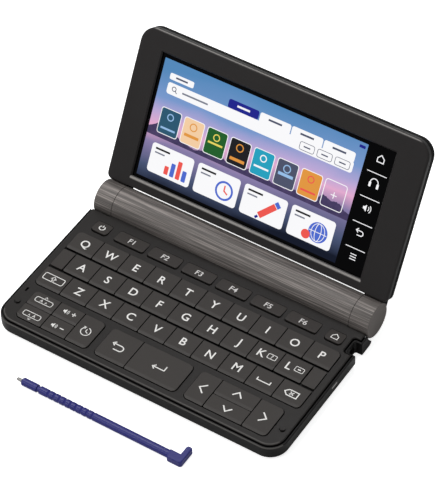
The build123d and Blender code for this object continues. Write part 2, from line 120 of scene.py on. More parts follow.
def make_piece(name, part, finish, body, carry=None):
    """A mesh object from a part in millimetres, facing outwards, with its finish and its body."""
    points, faces = part
    if carry is not None:
        points = carry(points)
    mesh = bpy.data.meshes.new(name)
    mesh.from_pydata((points * MM).tolist(), [], faces)
    work = bmesh.new()
    work.from_mesh(mesh)
    bmesh.ops.remove_doubles(work, verts=work.verts, dist=1e-7)
    bmesh.ops.recalc_face_normals(work, faces=work.faces)
    work.to_mesh(mesh)
    work.free()
    mesh.materials.append(finish)
    piece = bpy.data.objects.new(name, mesh)
    bpy.context.scene.collection.objects.link(piece)
    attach(piece, body)


# %% [markdown]
# ## Flat shapes
# Ink, icons and cards are thin solids: an outline lifted from a low to a high level. A rounded
# rectangle's outline is four quarter circles, and a line is a path with half its width on
# either side, so both come from short formulas.

# %% Outlines, plates and strokes
def arc(x, y, radius, start, end, points=16):
    """Points on a circle: (x + r cos a, y + r sin a), for angles a in degrees from start to end."""
    angle = np.radians(np.linspace(start, end, points))
    return np.stack([x + radius * np.cos(angle), y + radius * np.sin(angle)], axis=1)


def round_outline(left, right, low, high, corner, points=6):
    """Four quarter circles, centred one corner radius in from the sides, counter-clockwise."""
    xs, ys = (left + corner, right - corner), (low + corner, high - corner)
    quarters = [(xs[0], ys[0], 180), (xs[1], ys[0], 270), (xs[1], ys[1], 0), (xs[0], ys[1], 90)]
    return np.concatenate([arc(x, y, corner, start, start + 90, points) for x, y, start in quarters])


def plate(outline, low, high):
    """A solid between two levels: the outline at each, walls between them and a lid on both."""
    count = len(outline)
    levels = [np.column_stack([outline, np.full(count, level)]) for level in (low, high)]
    faces = grid_faces(2, count, ring_columns=True)
    faces += [list(range(count))[::-1], list(range(count, 2 * count))]
    return np.concatenate(levels), faces


def stroke(path, width, low, high, closed=False):
    """A line with square edges along a path. Each point moves half the width to both sides along
    the mean normal of its two runs, divided by the cosine of half the turn, so corners stay sharp."""
    path = np.asarray(path, float)
    ahead = np.roll(path, -1, axis=0) - path
    if not closed:
        ahead[-1] = ahead[-2]
    ahead /= np.linalg.norm(ahead, axis=1)[:, None]
    behind = np.roll(ahead, 1, axis=0)
    if not closed:
        behind[0] = ahead[0]
    mean = ahead + behind
    mean /= np.linalg.norm(mean, axis=1)[:, None]
    reach = width / 2 / np.clip((mean * ahead).sum(axis=1), 0.4, 1)
    side = np.column_stack([-mean[:, 1], mean[:, 0]]) * reach[:, None]
    count = len(path)
    corners = [(path - side, low), (path + side, low), (path + side, high), (path - side, high)]
    grid = np.concatenate([np.column_stack([xy, np.full(count, level)]) for xy, level in corners])
    faces = grid_faces(4, count, ring_rows=True, ring_columns=closed)
    if not closed:
        start = [0, count, 2 * count, 3 * count]
        faces += [start, [corner + count - 1 for corner in start[::-1]]]
    return grid, faces


# %% [markdown]
# ## Letters
# Blender's own plain typeface makes the letters, as curves that are turned into thin solids.
# A capital H is measured first, so that a height in millimetres can be asked for.

# %% Lettering
TYPE_HALF_THICKNESS, TYPE_BOLDNESS = 0.005, 0.012


def typeset(text):
    """The text's points at size 1 and its faces. Its thickness is replaced when it is placed."""
    curve = bpy.data.curves.new("type", "FONT")
    curve.body = text
    curve.align_x = "CENTER"
    curve.extrude = TYPE_HALF_THICKNESS
    curve.offset = TYPE_BOLDNESS
    curve.resolution_u = 4
    typed = bpy.data.objects.new("type", curve)
    mesh = bpy.data.meshes.new_from_object(typed)
    points = np.empty(3 * len(mesh.vertices))
    mesh.vertices.foreach_get("co", points)
    faces = [list(face.vertices) for face in mesh.polygons]
    bpy.data.objects.remove(typed)
    bpy.data.curves.remove(curve)
    bpy.data.meshes.remove(mesh)
    return points.reshape(-1, 3), faces


capital = typeset("H")[0]
capital_height = np.ptp(capital[:, 1])
print("a capital at size 1 is", round(float(capital_height), 3), "high")


def lettering(text, height, x, y, low, high):
    """Capitals of a height, with the middle of their line at (x, y)."""
    points, faces = typeset(text)
    points = points.copy()
    points[:, 0] -= (points[:, 0].min() + points[:, 0].max()) / 2
    points[:, 1] -= capital_height / 2
    points[:, :2] *= height / capital_height
    points[:, :2] += (x, y)
    points[:, 2] = np.where(points[:, 2] > 0, high, low)
    return points, faces


# %% [markdown]
# ## Finishes as sums
# A finish is a small graph of nodes. Written as sums it reads like what it does, so a wire
# between nodes is wrapped in a class whose plus, minus and times add Math nodes. Every other
# node comes from one method, which sets the node's choices first and its sockets after.

# %% Wires and finishes
class Wire:
    """A number that runs from one node to another. A sum with it adds Math nodes."""

    def __init__(self, finish, socket):
        self.finish, self.socket = finish, socket

    def math(self, operation, *values):
        return self.finish.node("ShaderNodeMath", {"operation": operation}, dict(enumerate(values)))

    def __add__(self, other): return self.math("ADD", self, other)
    def __radd__(self, other): return self.math("ADD", other, self)
    def __sub__(self, other): return self.math("SUBTRACT", self, other)
    def __rsub__(self, other): return self.math("SUBTRACT", other, self)
    def __mul__(self, other): return self.math("MULTIPLY", self, other)
    def __rmul__(self, other): return self.math("MULTIPLY", other, self)
    def __gt__(self, other): return self.math("GREATER_THAN", self, other)
    def __lt__(self, other): return self.math("LESS_THAN", self, other)
    def __abs__(self): return self.math("ABSOLUTE", self)
    def at_least(self, least): return self.math("MAXIMUM", self, least)
    def root(self): return self.math("SQRT", self)


class Finish:
    """A procedural material: a Principled shader, and one method for any other node."""

    def __init__(self, name):
        self.material = bpy.data.materials.new(name)
        self.material.use_nodes = True
        self.tree = self.material.node_tree
        self.tree.nodes.clear()
        self.shader = self.tree.nodes.new("ShaderNodeBsdfPrincipled")
        output = self.tree.nodes.new("ShaderNodeOutputMaterial")
        self.tree.links.new(self.shader.outputs[0], output.inputs[0])
        self.place = self.node("ShaderNodeTexCoord", output="Object")

    def node(self, kind, settings=None, inputs=None, output=0):
        node = self.tree.nodes.new(kind)
        for key, value in (settings or {}).items():
            if key == "stops":
                self.set_stops(node.color_ramp, value)
            else:
                setattr(node, key, value)
        for key, value in (inputs or {}).items():
            self.feed(node.inputs[key], value)
        return Wire(self, node.outputs[output])

    def feed(self, socket, value):
        if isinstance(value, Wire):
            self.tree.links.new(value.socket, socket)
        else:
            socket.default_value = value

    def set_stops(self, ramp, stops):
        while len(ramp.elements) < len(stops):
            ramp.elements.new(1)
        for element, (position, color) in zip(ramp.elements, stops):
            element.position, element.color = position, color

    def set(self, **sockets):
        for name, value in sockets.items():
            self.feed(self.shader.inputs[name.replace("_", " ")], value)

    def noise(self, size_mm, detail=2, stretch=(1, 1, 1)):
        """Soft noise with lumps of a size, longer along an axis whose stretch is above 1."""
        scale = tuple(1 / (size_mm * MM * part) for part in stretch)
        place = self.node("ShaderNodeMapping", {}, {"Vector": self.place, "Scale": scale})
        return self.node("ShaderNodeTexNoise", {}, {"Vector": place, "Scale": 1.0, "Detail": detail})

    def mix(self, factor, first, second):
        return self.node("ShaderNodeMix", {"data_type": "RGBA"}, {0: factor, 6: first, 7: second}, output=2)

    def paint_over(self, mask, color):
        """Mixes a colour over the present base colour, as far as the mask is above zero."""
        skin = Wire(self, self.shader.inputs["Base Color"].links[0].from_socket)
        self.set(Base_Color=self.mix(mask, skin, color))

    def bump(self, height, distance_mm, strength=1.0):
        values = {"Height": height, "Distance": distance_mm * MM, "Strength": strength}
        self.set(Normal=self.node("ShaderNodeBump", {}, values))

    def axes(self):
        split = self.node("ShaderNodeSeparateXYZ", {}, {0: self.place})
        outputs = split.socket.node.outputs
        return [Wire(self, outputs[number]) for number in range(3)]


def paint(red, green, blue):
    """A colour as a screen shows it, from 0 to 255, as the linear light that a shader wants."""
    value = np.array([red, green, blue]) / 255
    linear = np.where(value < 0.04045, value / 12.92, ((value + 0.055) / 1.055) ** 2.4)
    return (*(float(part) for part in linear), 1.0)


# %% [markdown]
# ## Moulded plastic
# The shells and keys are charcoal plastic from a spark-eroded mould. Such a mould leaves a fine
# even grain that softens every highlight, so the grain goes into the bump and, more weakly, into
# colour and roughness. A second, much larger noise keeps wide faces from looking flat. The
# colours are those at which this light gives the photograph's, not measured paint colours.

# %% Charcoal plastics
def moulded(name, color, roughness, grain_mm=0.25, depth_mm=0.012, specular=0.3, shade_below_mm=None):
    """Plastic with a mould's grain: colour and roughness vary by a few percent with it. Below a height the
    colour falls to near black: painted shade for the grooves and gaps that take the light away."""
    finish = Finish(name)
    grain = finish.noise(grain_mm, detail=3)
    patches = finish.noise(18, detail=2)
    darker = tuple(part * 0.86 for part in color[:3]) + (1.0,)
    lighter = tuple(part * 1.16 for part in color[:3]) + (1.0,)
    skin = finish.mix(grain * 0.6 + patches * 0.4, darker, lighter)
    # Painted shade: the grooves and gaps below this height are painted near black
    if shade_below_mm is not None:
        z = finish.axes()[2]
        skin = finish.mix(z < shade_below_mm * MM, skin, paint(9, 8, 8))
    finish.set(Base_Color=skin, Roughness=roughness + (patches - 0.5) * 0.14 + (grain - 0.5) * 0.08)
    finish.set(Specular_IOR_Level=specular)
    finish.bump(grain, depth_mm)
    return finish


RIM_DROP = 0.9          # from the deck's top down to the lower shell's rim
GROOVE_SHADE_DEPTH = 0.5      # painted shade: the deck is near black from this far below its top
GAP_SHADE_DEPTH = 0.02        # and painted shade on the keys, in the gaps between them
KEY_COLOR = paint(54, 51, 49)
rim_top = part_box("bottom_case")[1].z / MM
deck_top = rim_top + RIM_DROP
deck_plastic = moulded("deck_plastic", paint(34, 32, 31), 0.36, specular=0.12,
                       shade_below_mm=deck_top - GROOVE_SHADE_DEPTH)
key_plastic = moulded("key_plastic", KEY_COLOR, 0.4, grain_mm=0.2, depth_mm=0.008, specular=0.12,
                      shade_below_mm=deck_top - GAP_SHADE_DEPTH)
bezel_plastic = moulded("bezel_plastic", paint(36, 34, 34), 0.36, grain_mm=0.2, depth_mm=0.006,
                        specular=0.12)
cover_plastic = moulded("cover_plastic", paint(8, 8, 8), 0.6, grain_mm=0.3, depth_mm=0.006, specular=0.04)
shell_plastic = moulded("shell_plastic", paint(16, 15, 15), 0.4, specular=0.1)
print("plastics made")

# %% [markdown]
# ## Painted highlights
# In the photograph a few edges carry a thin pale highlight that these soft lamps don't give. It
# is painted into the base colour, so it stays put when the light or a pose changes. Each line is
# a tent-shaped mask: 1 in its middle and 0 a short way off. The base's edges follow a rounded
# rectangle, so their mask uses the depth inside its outline.

# %% Masks for edges
OUTLINE_HALF_WIDTH, OUTLINE_CORNER = 74.0, 9.0
OUTLINE_HALF_LENGTH = 100.0         # longer than the base, because only its front end is used
GLINT = paint(188, 184, 180)


def tent(value, middle_mm, reach_mm):
    """max(0, 1 - |value - middle| / reach)."""
    return (1 - abs(value - middle_mm * MM) * (1 / (reach_mm * MM))).at_least(0)


def outline_depth(x, y):
    """Depth inside the base's outline: corner - length(max(|p| - half size + corner, 0))."""
    over_x = (abs(x) - (OUTLINE_HALF_WIDTH - OUTLINE_CORNER) * MM).at_least(0)
    over_y = (abs(y - (front_y + OUTLINE_HALF_LENGTH) * MM)
              - (OUTLINE_HALF_LENGTH - OUTLINE_CORNER) * MM).at_least(0)
    return OUTLINE_CORNER * MM - (over_x * over_x + over_y * over_y).root()


def lid_axes(finish):
    """x, the height u up the lid and the distance out of its face, as wires."""
    x, y, z = finish.axes()
    y, z = y - hinge[1] * MM, z - hinge[2] * MM
    return x, y * lid_up[1] + z * lid_up[2], y * lid_out[1] + z * lid_out[2]


# %% Painted highlights on the front edges of the deck and the lower shell, and the pads in the keys' colour
EDGE_ZONE = 6.0         # the front edges' painted highlight reaches this far back
DECK_EDGE, DECK_REACH, DECK_STRENGTH = 1.85, 0.45, 0.13         # the edge is a depth inside the outline
SHELL_EDGE, SHELL_REACH, RIM_REACH, SHELL_STRENGTH = 0.15, 0.5, 0.55, 0.19
PAD_INNER, PAD_FRONT, PAD_RISE = 62.7, 37.0, 0.3                # the blank pads beside the letter rows
x, y, z = deck_plastic.axes()
in_front = y < (front_y + EDGE_ZONE) * MM
edge_highlight = tent(outline_depth(x, y), DECK_EDGE, DECK_REACH) * (z > (deck_top - DECK_REACH) * MM)
deck_plastic.paint_over(edge_highlight * in_front * DECK_STRENGTH, GLINT)
is_pad = (z > (deck_top + PAD_RISE) * MM) * (abs(x) > PAD_INNER * MM) * (y > (front_y + PAD_FRONT) * MM)
deck_plastic.paint_over(is_pad, KEY_COLOR)

# Painted highlight along the lower shell's front rim
x, y, z = shell_plastic.axes()
in_front = y < (front_y + EDGE_ZONE) * MM
edge_highlight = tent(outline_depth(x, y), SHELL_EDGE, SHELL_REACH) * tent(z, rim_top - SHELL_EDGE, RIM_REACH)
shell_plastic.paint_over(edge_highlight * in_front * SHELL_STRENGTH, GLINT)

# %% Lid: a painted highlight on a sill under the window and on the top edge, and painted shade on the near black sides
BEZEL_THICKNESS, LID_TOP = 1.3, 84.6
SIDE_START = 0.8        # depth behind the face where the sides start
SILL_HEIGHT, SILL_REACH, SILL_STRENGTH = 13.7, 0.75, 0.8
SILL_MIDDLE, SILL_HALF_LENGTH = -1.3, 60.9
BROW_INSET, BROW_REACH, BROW_STRENGTH = 0.3, 0.5, 0.5           # in from the lid's top and from its face
bezel_face = BEZEL_THICKNESS - GLASS_DEPTH
x, u, out = lid_axes(bezel_plastic)
# Painted shade: the bezel's sides are painted near black
bezel_plastic.paint_over(out < (bezel_face - SIDE_START) * MM, paint(7, 7, 7))
# Painted highlights along the window's sill and the lid's top edge
sill_highlight = tent(u, SILL_HEIGHT, SILL_REACH) * (abs(x - SILL_MIDDLE * MM) < SILL_HALF_LENGTH * MM)
bezel_plastic.paint_over(sill_highlight * SILL_STRENGTH, GLINT)
brow_highlight = tent(u, LID_TOP - BROW_INSET, BROW_REACH) * tent(out, bezel_face - BROW_INSET, BROW_REACH)
bezel_plastic.paint_over(brow_highlight * BROW_STRENGTH, GLINT)
print("highlights painted")

# %% [markdown]
# The lower shell has one thing of its own: a narrow slit for a strap in its right side, where light shows
# through. It is so small that the finish paints it, as a short pale bar in y and z on the outermost skin: a
# painted highlight.

# %% Strap slit, painted as a highlight
STRAP_Y, STRAP_Z, STRAP_HALF_LENGTH, STRAP_HALF_HEIGHT = front_y + 46.4, 5.6, 2.1, 0.45
SKIN_X = 73.5           # the side's skin is further out than this
x, y, z = shell_plastic.axes()
slit_highlight = ((abs(y - STRAP_Y * MM) < STRAP_HALF_LENGTH * MM)
           * (abs(z - STRAP_Z * MM) < STRAP_HALF_HEIGHT * MM) * (x > SKIN_X * MM))
# Painted highlight: the light in the slit is a pale bar
shell_plastic.paint_over(slit_highlight, paint(170, 168, 166))

# %% [markdown]
# ## Brushed barrel
# The barrel's metallic finish is brushed along the hinge: hair-thin lines, each ninety times
# longer than it is wide, under broader bands that run with them. The lines are noise stretched
# along x. The flat ends of the knuckles are turned, not brushed, so they get none.

# %% Barrel metal
BRUSHED_HALF_LENGTH = 72.25         # up to the knuckles' flat ends
barrel_metal = Finish("barrel_metal")
hairs = barrel_metal.noise(0.3, detail=4, stretch=(90, 1, 1))
bands = barrel_metal.noise(1.3, detail=3, stretch=(40, 1, 1))
x = barrel_metal.axes()[0]
side_skin = abs(x) < BRUSHED_HALF_LENGTH * MM
streak = (hairs * 0.6 + bands * 0.4 - 0.5) * side_skin + 0.5
metal_stops = [(0.38, paint(64, 60, 58)), (0.5, paint(92, 87, 84)), (0.62, paint(140, 133, 129))]
barrel_metal.set(Base_Color=barrel_metal.node("ShaderNodeValToRGB", {"stops": metal_stops}, {0: streak}),
                 Roughness=0.6 + (hairs - 0.5) * 0.3, Metallic=0.25)
barrel_metal.bump(streak, 0.02, 0.6)

# %% [markdown]
# ## Hidden and small finishes
# Rubber feet, the circuit board and the cells are seen only from below or through a gap, but
# each still gets the look of what it is: dull rubber, green lacquer with copper tracks, and a
# plain sleeve with bare metal ends.

# %% Rubber, board and cells
rubber = moulded("foot_rubber", paint(32, 31, 31), 0.75, grain_mm=0.4, depth_mm=0.03, specular=0.2)

SHEET_LOW = 4.05                                # the dome sheet lies on the board from here up
board = Finish("board_lacquer")
tracks = board.node("ShaderNodeTexBrick", {}, {"Vector": board.place, "Scale": 120.0, "Mortar Size": 0.03,
                                               "Color1": paint(20, 92, 52), "Color2": paint(24, 104, 60),
                                               "Mortar": paint(120, 110, 60)})
z = board.axes()[2]
is_sheet = z > SHEET_LOW * MM
board.set(Base_Color=board.mix(is_sheet, tracks, paint(90, 92, 96)), Roughness=0.35 + board.noise(2) * 0.2)
board.bump(board.noise(0.8), 0.01)

CELL_MIDDLE, SLEEVE_HALF_LENGTH = 24.5, 22.5
cells = Finish("cell_sleeve")
x = cells.axes()[0]
sleeve = abs(abs(x) - CELL_MIDDLE * MM) < SLEEVE_HALF_LENGTH * MM
cells.set(Base_Color=cells.mix(sleeve, paint(190, 190, 192), paint(62, 84, 120)),
          Metallic=1 - sleeve * 0.7, Roughness=0.3 + cells.noise(3) * 0.1)
cells.bump(cells.noise(4), 0.01)

# %% [markdown]
# ## Stylus
# The stylus is one navy moulding with a dull grey nib. The two share a node, so one finish
# changes at the nib's shoulder, where x passes a fixed place.

# %% Stylus finish
stylus_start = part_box("stylus")[0].x
NIB_LENGTH = 2.85
stylus_finish = moulded("stylus_plastic", paint(34, 35, 108), 0.34, grain_mm=0.5, depth_mm=0.004,
                        specular=0.25)
x = stylus_finish.axes()[0]
is_nib = x < stylus_start + NIB_LENGTH * MM
stylus_finish.paint_over(is_nib, paint(128, 126, 124))
stylus_finish.set(Metallic=is_nib * 0.3)

# %% [markdown]
# ## The lit screen
# The display glows from behind one sheet of black glass. A soft evening sky over hills and a
# lake makes a plain wallpaper: a ramp of colours up the screen, warped by noise, with the hills
# as the part below a wavy line. Outside the picture the glass stays black, so the glow is
# multiplied by a mask in x and u. An anti-glare coat keeps the glass's own reflection low.

# %% Glass with its wallpaper
PICTURE_LEFT, PICTURE_RIGHT, PICTURE_LOW, PICTURE_HIGH = -60.0, 45.2, 16.0, 73.0
glass = Finish("screen_glass")
x, u = lid_axes(glass)[:2]
s = (x - PICTURE_LEFT * MM) * (1 / ((PICTURE_RIGHT - PICTURE_LEFT) * MM))
t = (u - PICTURE_LOW * MM) * (1 / ((PICTURE_HIGH - PICTURE_LOW) * MM))
inside = (s > 0) * (s < 1) * (t > 0) * (t < 1)
cloud = glass.noise(14, detail=4, stretch=(2.2, 1, 1))
sky = glass.node("ShaderNodeValToRGB", {"stops": [
    (0.0, paint(18, 24, 40)), (0.16, paint(72, 84, 116)), (0.36, paint(136, 124, 168)),
    (0.5, paint(226, 170, 206)), (0.6, paint(188, 168, 214)), (0.74, paint(120, 152, 204)),
    (1.0, paint(84, 136, 186))]},
    {0: t + (cloud - 0.5) * 0.16 - (s - 0.5) * 0.12})
ridge = glass.noise(22, detail=5, stretch=(1, 1000, 1000))
is_hill = (t < 0.42 + (ridge - 0.5) * 0.42) * (t > 0.36)
hill = glass.mix(glass.noise(3, detail=3), paint(44, 42, 74), paint(86, 72, 112))
wallpaper = glass.mix(is_hill, sky, hill)
glass.set(Base_Color=paint(2, 2, 3), Emission_Strength=1.0,
          Emission_Color=glass.mix(inside, (0, 0, 0, 1), wallpaper),
          Roughness=0.06 + glass.noise(30) * 0.02, Specular_IOR_Level=0.03)

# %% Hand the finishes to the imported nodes
finish_of = {
    "bottom_case": shell_plastic, "keyboard_deck": deck_plastic, "main_board": board,
    "hinge_barrel": barrel_metal, "battery_door": barrel_metal, "battery_cells": cells,
    "hinge_knuckles": barrel_metal, "display_bezel": bezel_plastic, "display_panel": glass,
    "lid_cover": cover_plastic, "rubber_feet": rubber, "stylus": stylus_finish,
}
for name, node in nodes.items():
    finish = finish_of.get(name, key_plastic)
    node.data.materials.clear()
    node.data.materials.append(finish.material)
print("finished nodes", len(nodes))

# %% [markdown]
# ## Camera and studio
# The camera stands far off with a long lens, so the object's edges stay nearly parallel, as in
# a catalogue picture. Its place and turn come from matching the deck's and the lid's corners.
# A big soft lamp from the upper left does most of the lighting, a small low one in front lifts
# the edges, and one behind the hinge draws a line along the barrel. An even surround fills the rest.

# %% Camera
CAMERA_PLACE = np.array([0.45616, -0.58208 + front_y * MM, 0.90576])
AZIMUTH, ELEVATION, ROLL = np.radians([34.9956, 47.7673, -2.7165])
LONG_SIDE_PX, FOCAL_PX, SENSOR_MM = 495, 2702.3, 36.0
look = np.array([-np.sin(AZIMUTH), np.cos(AZIMUTH), 0]) * np.cos(ELEVATION) - (0, 0, np.sin(ELEVATION))
level = np.cross(look, [0, 0, 1])
level /= np.linalg.norm(level)
upright = np.cross(level, look)
right = np.cos(ROLL) * level + np.sin(ROLL) * upright
up = -np.sin(ROLL) * level + np.cos(ROLL) * upright
lens = bpy.data.cameras.new("camera")
lens.sensor_width = SENSOR_MM
lens.lens = FOCAL_PX * SENSOR_MM / LONG_SIDE_PX
lens.clip_end = 20
camera = bpy.data.objects.new("camera", lens)
turned = np.eye(4)
turned[:3, 0], turned[:3, 1], turned[:3, 2], turned[:3, 3] = right, up, -look, CAMERA_PLACE
camera.matrix_world = Matrix(turned)
bpy.context.scene.collection.objects.link(camera)
bpy.context.scene.camera = camera
print("lens", round(lens.lens, 1), "mm")

# %% Lamps, surround and floor
def soft_lamp(name, place, target, size, power):
    """A square lamp that faces a target."""
    lamp = bpy.data.lights.new(name, "AREA")
    lamp.size, lamp.energy = size, power
    holder = bpy.data.objects.new(name, lamp)
    away = np.array(place) - np.array(target)
    away /= np.linalg.norm(away)
    aside = np.cross([0.0, 1.0, 0.2], away)
    aside /= np.linalg.norm(aside)
    matrix = np.eye(4)
    matrix[:3, 0], matrix[:3, 1], matrix[:3, 2], matrix[:3, 3] = aside, np.cross(away, aside), away, place
    holder.matrix_world = Matrix(matrix)
    bpy.context.scene.collection.objects.link(holder)


AIM = (0, 0, 0.03)
soft_lamp("key_lamp", (-0.7, 0.0, 1.6), AIM, 0.8, 13.5)
soft_lamp("front_lamp", (-0.62, -1.2, 0.9), AIM, 0.35, 4)
soft_lamp("top_lamp", (-0.35, 0.7, 1.6), AIM, 0.4, 5)

# The surround is plain white to the camera, to mirrors and through glass, and dimmer as a light.
FILL_LEVEL = 0.4
world = bpy.data.worlds.new("surround")
bpy.context.scene.world = world
world.use_nodes = True
nodes_of, links_of = world.node_tree.nodes, world.node_tree.links
surround = nodes_of["Background"]
surround.inputs["Color"].default_value = (1, 1, 1, 1)
ray = nodes_of.new("ShaderNodeLightPath")
mirrored, seen = (nodes_of.new("ShaderNodeMath") for _ in range(2))
mirrored.operation = seen.operation = "MAXIMUM"
strength = nodes_of.new("ShaderNodeMapRange")
strength.inputs["To Min"].default_value = FILL_LEVEL
links_of.new(ray.outputs["Is Glossy Ray"], mirrored.inputs[0])
links_of.new(ray.outputs["Is Transmission Ray"], mirrored.inputs[1])
links_of.new(ray.outputs["Is Camera Ray"], seen.inputs[0])
links_of.new(mirrored.outputs[0], seen.inputs[1])
links_of.new(seen.outputs[0], strength.inputs["Value"])
links_of.new(strength.outputs[0], surround.inputs["Strength"])

FLOOR_HALF = 4.0
floor_mesh = bpy.data.meshes.new("floor")
corners = np.array([[-1, -1, 0], [1, -1, 0], [1, 1, 0], [-1, 1, 0]]) * FLOOR_HALF
floor_mesh.from_pydata(corners.tolist(), [], [[0, 1, 2, 3]])
floor = bpy.data.objects.new("floor", floor_mesh)
bpy.context.scene.collection.objects.link(floor)
floor_paint = Finish("floor_paint")
floor_paint.set(Base_Color=(0.9, 0.9, 0.9, 1), Roughness=0.9, Specular_IOR_Level=0.0)
floor_paint.set(Emission_Color=(0.75, 0.75, 0.75, 1),
                Emission_Strength=floor_paint.node("ShaderNodeLightPath", output="Is Camera Ray"))
floor_mesh.materials.append(floor_paint.material)

# %% [markdown]
# ## Key legends
# White ink is pad-printed on the caps after moulding: a film about 0.02 mm high. Each legend
# rides its own key, so it goes down with the press. The letters are the plain alphabet of any
# keyboard, and the other keys carry the simple signs that every such device uses.

# %% Inks
def ink(name, color):
    finish = moulded(name, color, 0.55, grain_mm=0.15, depth_mm=0.002, specular=0.3)
    return finish.material


white_ink = ink("white_ink", paint(226, 225, 222))
grey_ink = ink("grey_ink", paint(206, 204, 202))
INK = 0.02          # height of the film
LETTER_HEIGHT = 4.1
LINE = 0.52         # width of a drawn line


def key_face(name):
    """Middle of a key's cap in x and y, and the height of its top."""
    low, high = (np.array(corner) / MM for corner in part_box(name))
    return (low[0] + high[0]) / 2, (low[1] + high[1]) / 2, high[2]


def print_on_key(name, parts, finish=white_ink, slope=0.0):
    """A legend drawn about (0, 0), moved to its key's middle. A slope lowers it towards the back."""
    x, y, top = key_face(name)

    def carry(points):
        moved = points + (x, y, top)
        moved[:, 2] -= slope * points[:, 1]
        return moved
    make_piece("legend_" + name[4:], joined(parts), finish, nodes[name]["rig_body"], carry)


# %% Letters
for letter in "qwertyuiopasdfghjklzxcvbnm":
    shift = -2.2 if letter in "kl" else 0.0
    parts = [lettering(letter.upper(), LETTER_HEIGHT, shift, 0.2, 0, INK)]
    if letter in "kl":
        parts.append(stroke(round_outline(0.8, 5.0, -0.9, 1.7, 0.5), 0.3, 0, INK, closed=True))
        parts.append(lettering("?", 2.0, 2.9, 0.4, 0, INK) if letter == "k"
                     else plate(round_outline(2.1, 3.7, 0.1, 0.7, 0.25), 0, INK))
    print_on_key("key_" + letter, parts)
print("letters printed")


# %% Signs as short paths
def chevron(x, y, size, turn):
    """An open arrow head: two strokes at 35 degrees to the way it points, turned in degrees."""
    angle = np.radians(turn)
    shape = np.array([[-0.35, 0.62], [0.35, 0.0], [-0.35, -0.62]]) * size
    spin = np.array([[np.cos(angle), np.sin(angle)], [-np.sin(angle), np.cos(angle)]])
    return shape @ spin + (x, y)


def line(path, closed=False, width=LINE):
    return stroke(path, width, 0, INK, closed)


def loudspeaker(x, y, size):
    """A box and cone seen from the side, with two sound waves."""
    cone = np.array([[-1, -0.35], [-0.6, -0.35], [0, -0.85], [0, 0.85], [-0.6, 0.35], [-1, 0.35]]) * size
    waves = [line(arc(x - 0.2 * size, y, reach * size, -40, 40, 7), width=0.26) for reach in (0.75, 1.15)]
    return [plate(cone + (x, y), 0, INK)] + waves


def house(x, y, size, width=LINE):
    path = np.array([[-0.8, -0.75], [0.8, -0.75], [0.8, 0.1], [0.0, 0.85], [-0.8, 0.1]]) * size
    return stroke(path + (x, y), width, 0, INK, closed=True)


ARROW_LINE, FINE_LINE = 0.62, 0.3
print_on_key("key_left", [line(chevron(0, 0, 4.0, 180), width=ARROW_LINE)])
print_on_key("key_right", [line(chevron(0, 0, 4.0, 0), width=ARROW_LINE)])
print_on_key("key_up", [line(chevron(0, 0.3, 3.6, 90), width=ARROW_LINE)])
print_on_key("key_down", [line(chevron(0, 0.1, 3.6, -90), width=ARROW_LINE)])
shift_arrow = np.array([[-0.5, -1.1], [0.5, -1.1], [0.5, 0], [1.2, 0], [0, 1.2], [-1.2, 0], [-0.5, 0]])
print_on_key("key_shift", [line(round_outline(-5.2, 5.2, -1.5, 2.2, 0.8), closed=True, width=0.36),
                           line(shift_arrow + (0, 0.3), closed=True, width=FINE_LINE)])
print_on_key("key_space", [line([[-3.2, 0.6], [-3.2, -0.9], [3.2, -0.9], [3.2, 0.6]])])
erase = np.array([[-3.4, 0], [-1.8, -1.6], [3.0, -1.6], [3.0, 1.6], [-1.8, 1.6]])
print_on_key("key_delete", [line(erase, closed=True), line([[-0.8, -0.8], [1.0, 0.8]]),
                            line([[-0.8, 0.8], [1.0, -0.8]])])
print_on_key("key_volume_up", loudspeaker(-1.6, 0.4, 1.5)
             + [line([[1.4, 0.4], [3.4, 0.4]]), line([[2.4, -0.6], [2.4, 1.4]])])
print_on_key("key_volume_down", loudspeaker(-1.6, 0.2, 1.5) + [line([[1.4, 0.2], [3.4, 0.2]])])
box = line(round_outline(-4.4, 4.4, -1.5, 1.2, 0.9), closed=True, width=0.32)
print_on_key("key_font_up", [box, lettering("A", 1.5, -1.2, -0.2, 0, INK),
                             lettering("A", 1.0, 1.2, -0.4, 0, INK),
                             line(chevron(0, 2.2, 1.1, 90), width=FINE_LINE)])
print_on_key("key_font_down", [box, lettering("A", 1.0, -1.2, -0.4, 0, INK),
                               lettering("A", 1.5, 1.2, -0.2, 0, INK),
                               line(chevron(0, -2.6, 1.1, -90), width=FINE_LINE)])
print_on_key("key_history", [line(arc(0, 0, 2.3, 120, 440, 28), width=0.4),
                             line([[0, 1.4], [0, 0], [1.2, -0.7]], width=0.4),
                             line(chevron(-1.4, 1.9, 1.2, 35), width=0.36)])
turn_back = np.concatenate([[[-3.0, 1.1]], arc(1.2, -0.4, 1.5, 90, -90, 12), [[-1.6, -1.9]]])
print_on_key("key_back", [line(turn_back), line(chevron(-2.7, 1.1, 1.8, 180))])
enter = [[3.0, 1.8], [3.0, -0.8], [-2.6, -0.8]]
print_on_key("key_enter", [line(enter, width=0.5), line(chevron(-2.3, -0.8, 1.9, 180), width=0.5)])

# %% Menu row: the caps slope to the back, and so does their print
MENU_SLOPE = 0.1228
CAP_MIDDLE_DROP = 0.3      # cap's middle below its highest line
MENU_HEIGHT = 2.9
for name, parts in {
    "power": [line(arc(0, 0, 1.35, 125, 415, 24)), line([[0, 0.4], [0, 1.9]])],
    "home": [house(0, 0, 1.9, 0.42)],
}.items():
    lowered = [(points - (0, 0, CAP_MIDDLE_DROP), faces) for points, faces in parts]
    print_on_key("key_" + name, lowered, slope=MENU_SLOPE)
for number in range(1, 7):
    parts = [lettering(f"F{number}", MENU_HEIGHT, 0, 0, -CAP_MIDDLE_DROP, INK - CAP_MIDDLE_DROP)]
    print_on_key(f"key_menu_{number}", parts, grey_ink, MENU_SLOPE)

# %% [markdown]
# ## What the screen shows
# A home page of any such device: a search field with its tabs, a row of small tiles and a row
# of white cards with simple signs. They are drawn as thin plates on the glass, a few hundredths
# of a millimetre apart, so that nothing lies in the same plane, and each colour is one piece.

